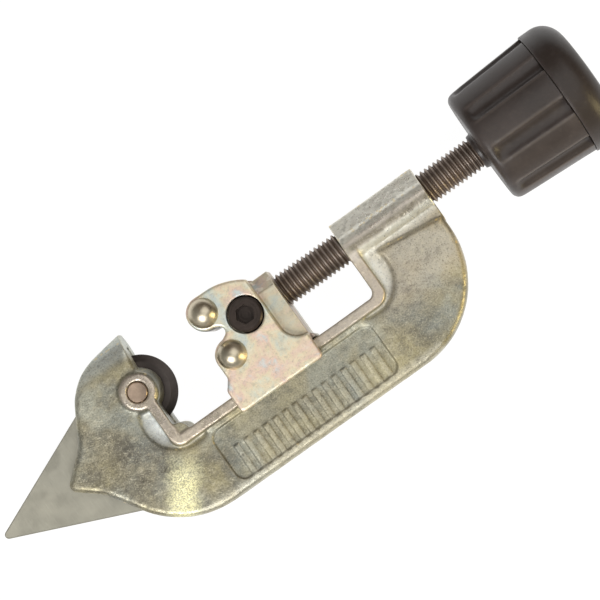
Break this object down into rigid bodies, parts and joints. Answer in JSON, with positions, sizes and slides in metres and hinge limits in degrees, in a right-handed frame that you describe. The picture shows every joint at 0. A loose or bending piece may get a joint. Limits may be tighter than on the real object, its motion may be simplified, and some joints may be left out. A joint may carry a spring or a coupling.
{
  "type": "pipe cutter",
  "caption": "C-frame pipe cutter with a cutting wheel, a roller carriage moved by a screw and fluted knob, and a reamer blade in the frame's nose.",
  "frame": {"origin": "on the axis of a 15 mm pipe held in the jaw, midway through the frame's thickness", "axes": "+X along the feed screw from the cutting wheel to the knob, +Y from the spine to the open side of the jaw, +Z across the frame along the held pipe"},
  "size_m": [0.215, 0.0612, 0.0396],
  "materials": {
    "frame_zinc": "die-cast zinc, olive-grey passivated, mottled",
    "carriage_zinc": "die-cast zinc, lighter satin with a faint iridescent film",
    "wheel_steel": "hardened, dark ground steel",
    "pin_steel": "turned end face",
    "reamer_steel": "flat matte blade with fine scratches",
    "roller_steel": "turned steel",
    "rivet_steel": "bright rounded heads",
    "black_steel": "black oxide, lightly oiled",
    "screw_steel": "oily brown-grey rolled thread",
    "fastener_steel": "bright zinc plate",
    "knob_plastic": "moulded brown-black, fine grain, slight sheen"
  },
  "bodies": {
    "frame": {"frame": "frame_zinc", "wheel_pin": "pin_steel", "reamer_pivot_screw": "fastener_steel", "reamer_spring_washer": "fastener_steel"},
    "wheel": {"cutting_wheel": "wheel_steel"},
    "reamer": {"reamer_blade": "reamer_steel"},
    "carriage": {"carriage_front_half": "carriage_zinc", "carriage_rear_half": "carriage_zinc", "upper_roller_rivet": "rivet_steel", "lower_roller_rivet": "rivet_steel", "carriage_cap_screw": "black_steel", "thrust_disc": "fastener_steel"},
    "upper_roller": {"upper_roller": "roller_steel"},
    "lower_roller": {"lower_roller": "roller_steel"},
    "screw": {"feed_screw": "screw_steel", "knob": "knob_plastic", "knob_end_cap": "knob_plastic", "knob_washer": "fastener_steel", "knob_nut": "fastener_steel"}
  },
  "joints": [
    {"name": "cutting_wheel_spin", "type": "hinge", "parent": "frame", "child": "wheel", "pos_m": [-0.01825, 0, 0], "axis": [0, 0, 1], "continuous": true},
    {"name": "carriage_slide", "type": "slide", "parent": "frame", "child": "carriage", "axis": [1, 0, 0], "range_m": [-0.0135, 0.0188]},
    {"name": "upper_roller_spin", "type": "hinge", "parent": "carriage", "child": "upper_roller", "pos_m": [0.01055, 0.0072, 0], "axis": [0, 0, 1], "continuous": true},
    {"name": "lower_roller_spin", "type": "hinge", "parent": "carriage", "child": "lower_roller", "pos_m": [0.01055, -0.0072, 0], "axis": [0, 0, 1], "continuous": true},
    {"name": "feed_screw_turn", "type": "hinge", "parent": "carriage", "child": "screw", "pos_m": [0.0652, 0, 0], "axis": [1, 0, 0], "range_deg": [-3240, 4512]},
    {"name": "reamer_fold", "type": "hinge", "parent": "frame", "child": "reamer", "pos_m": [-0.03325, -0.0202, 0], "axis": [0, 0, 1], "range_deg": [0, 180]}
  ],
  "couplings": [
    {"joint": "feed_screw_turn", "follows": "carriage_slide", "rad_per_m": 4188.8}
  ]
}
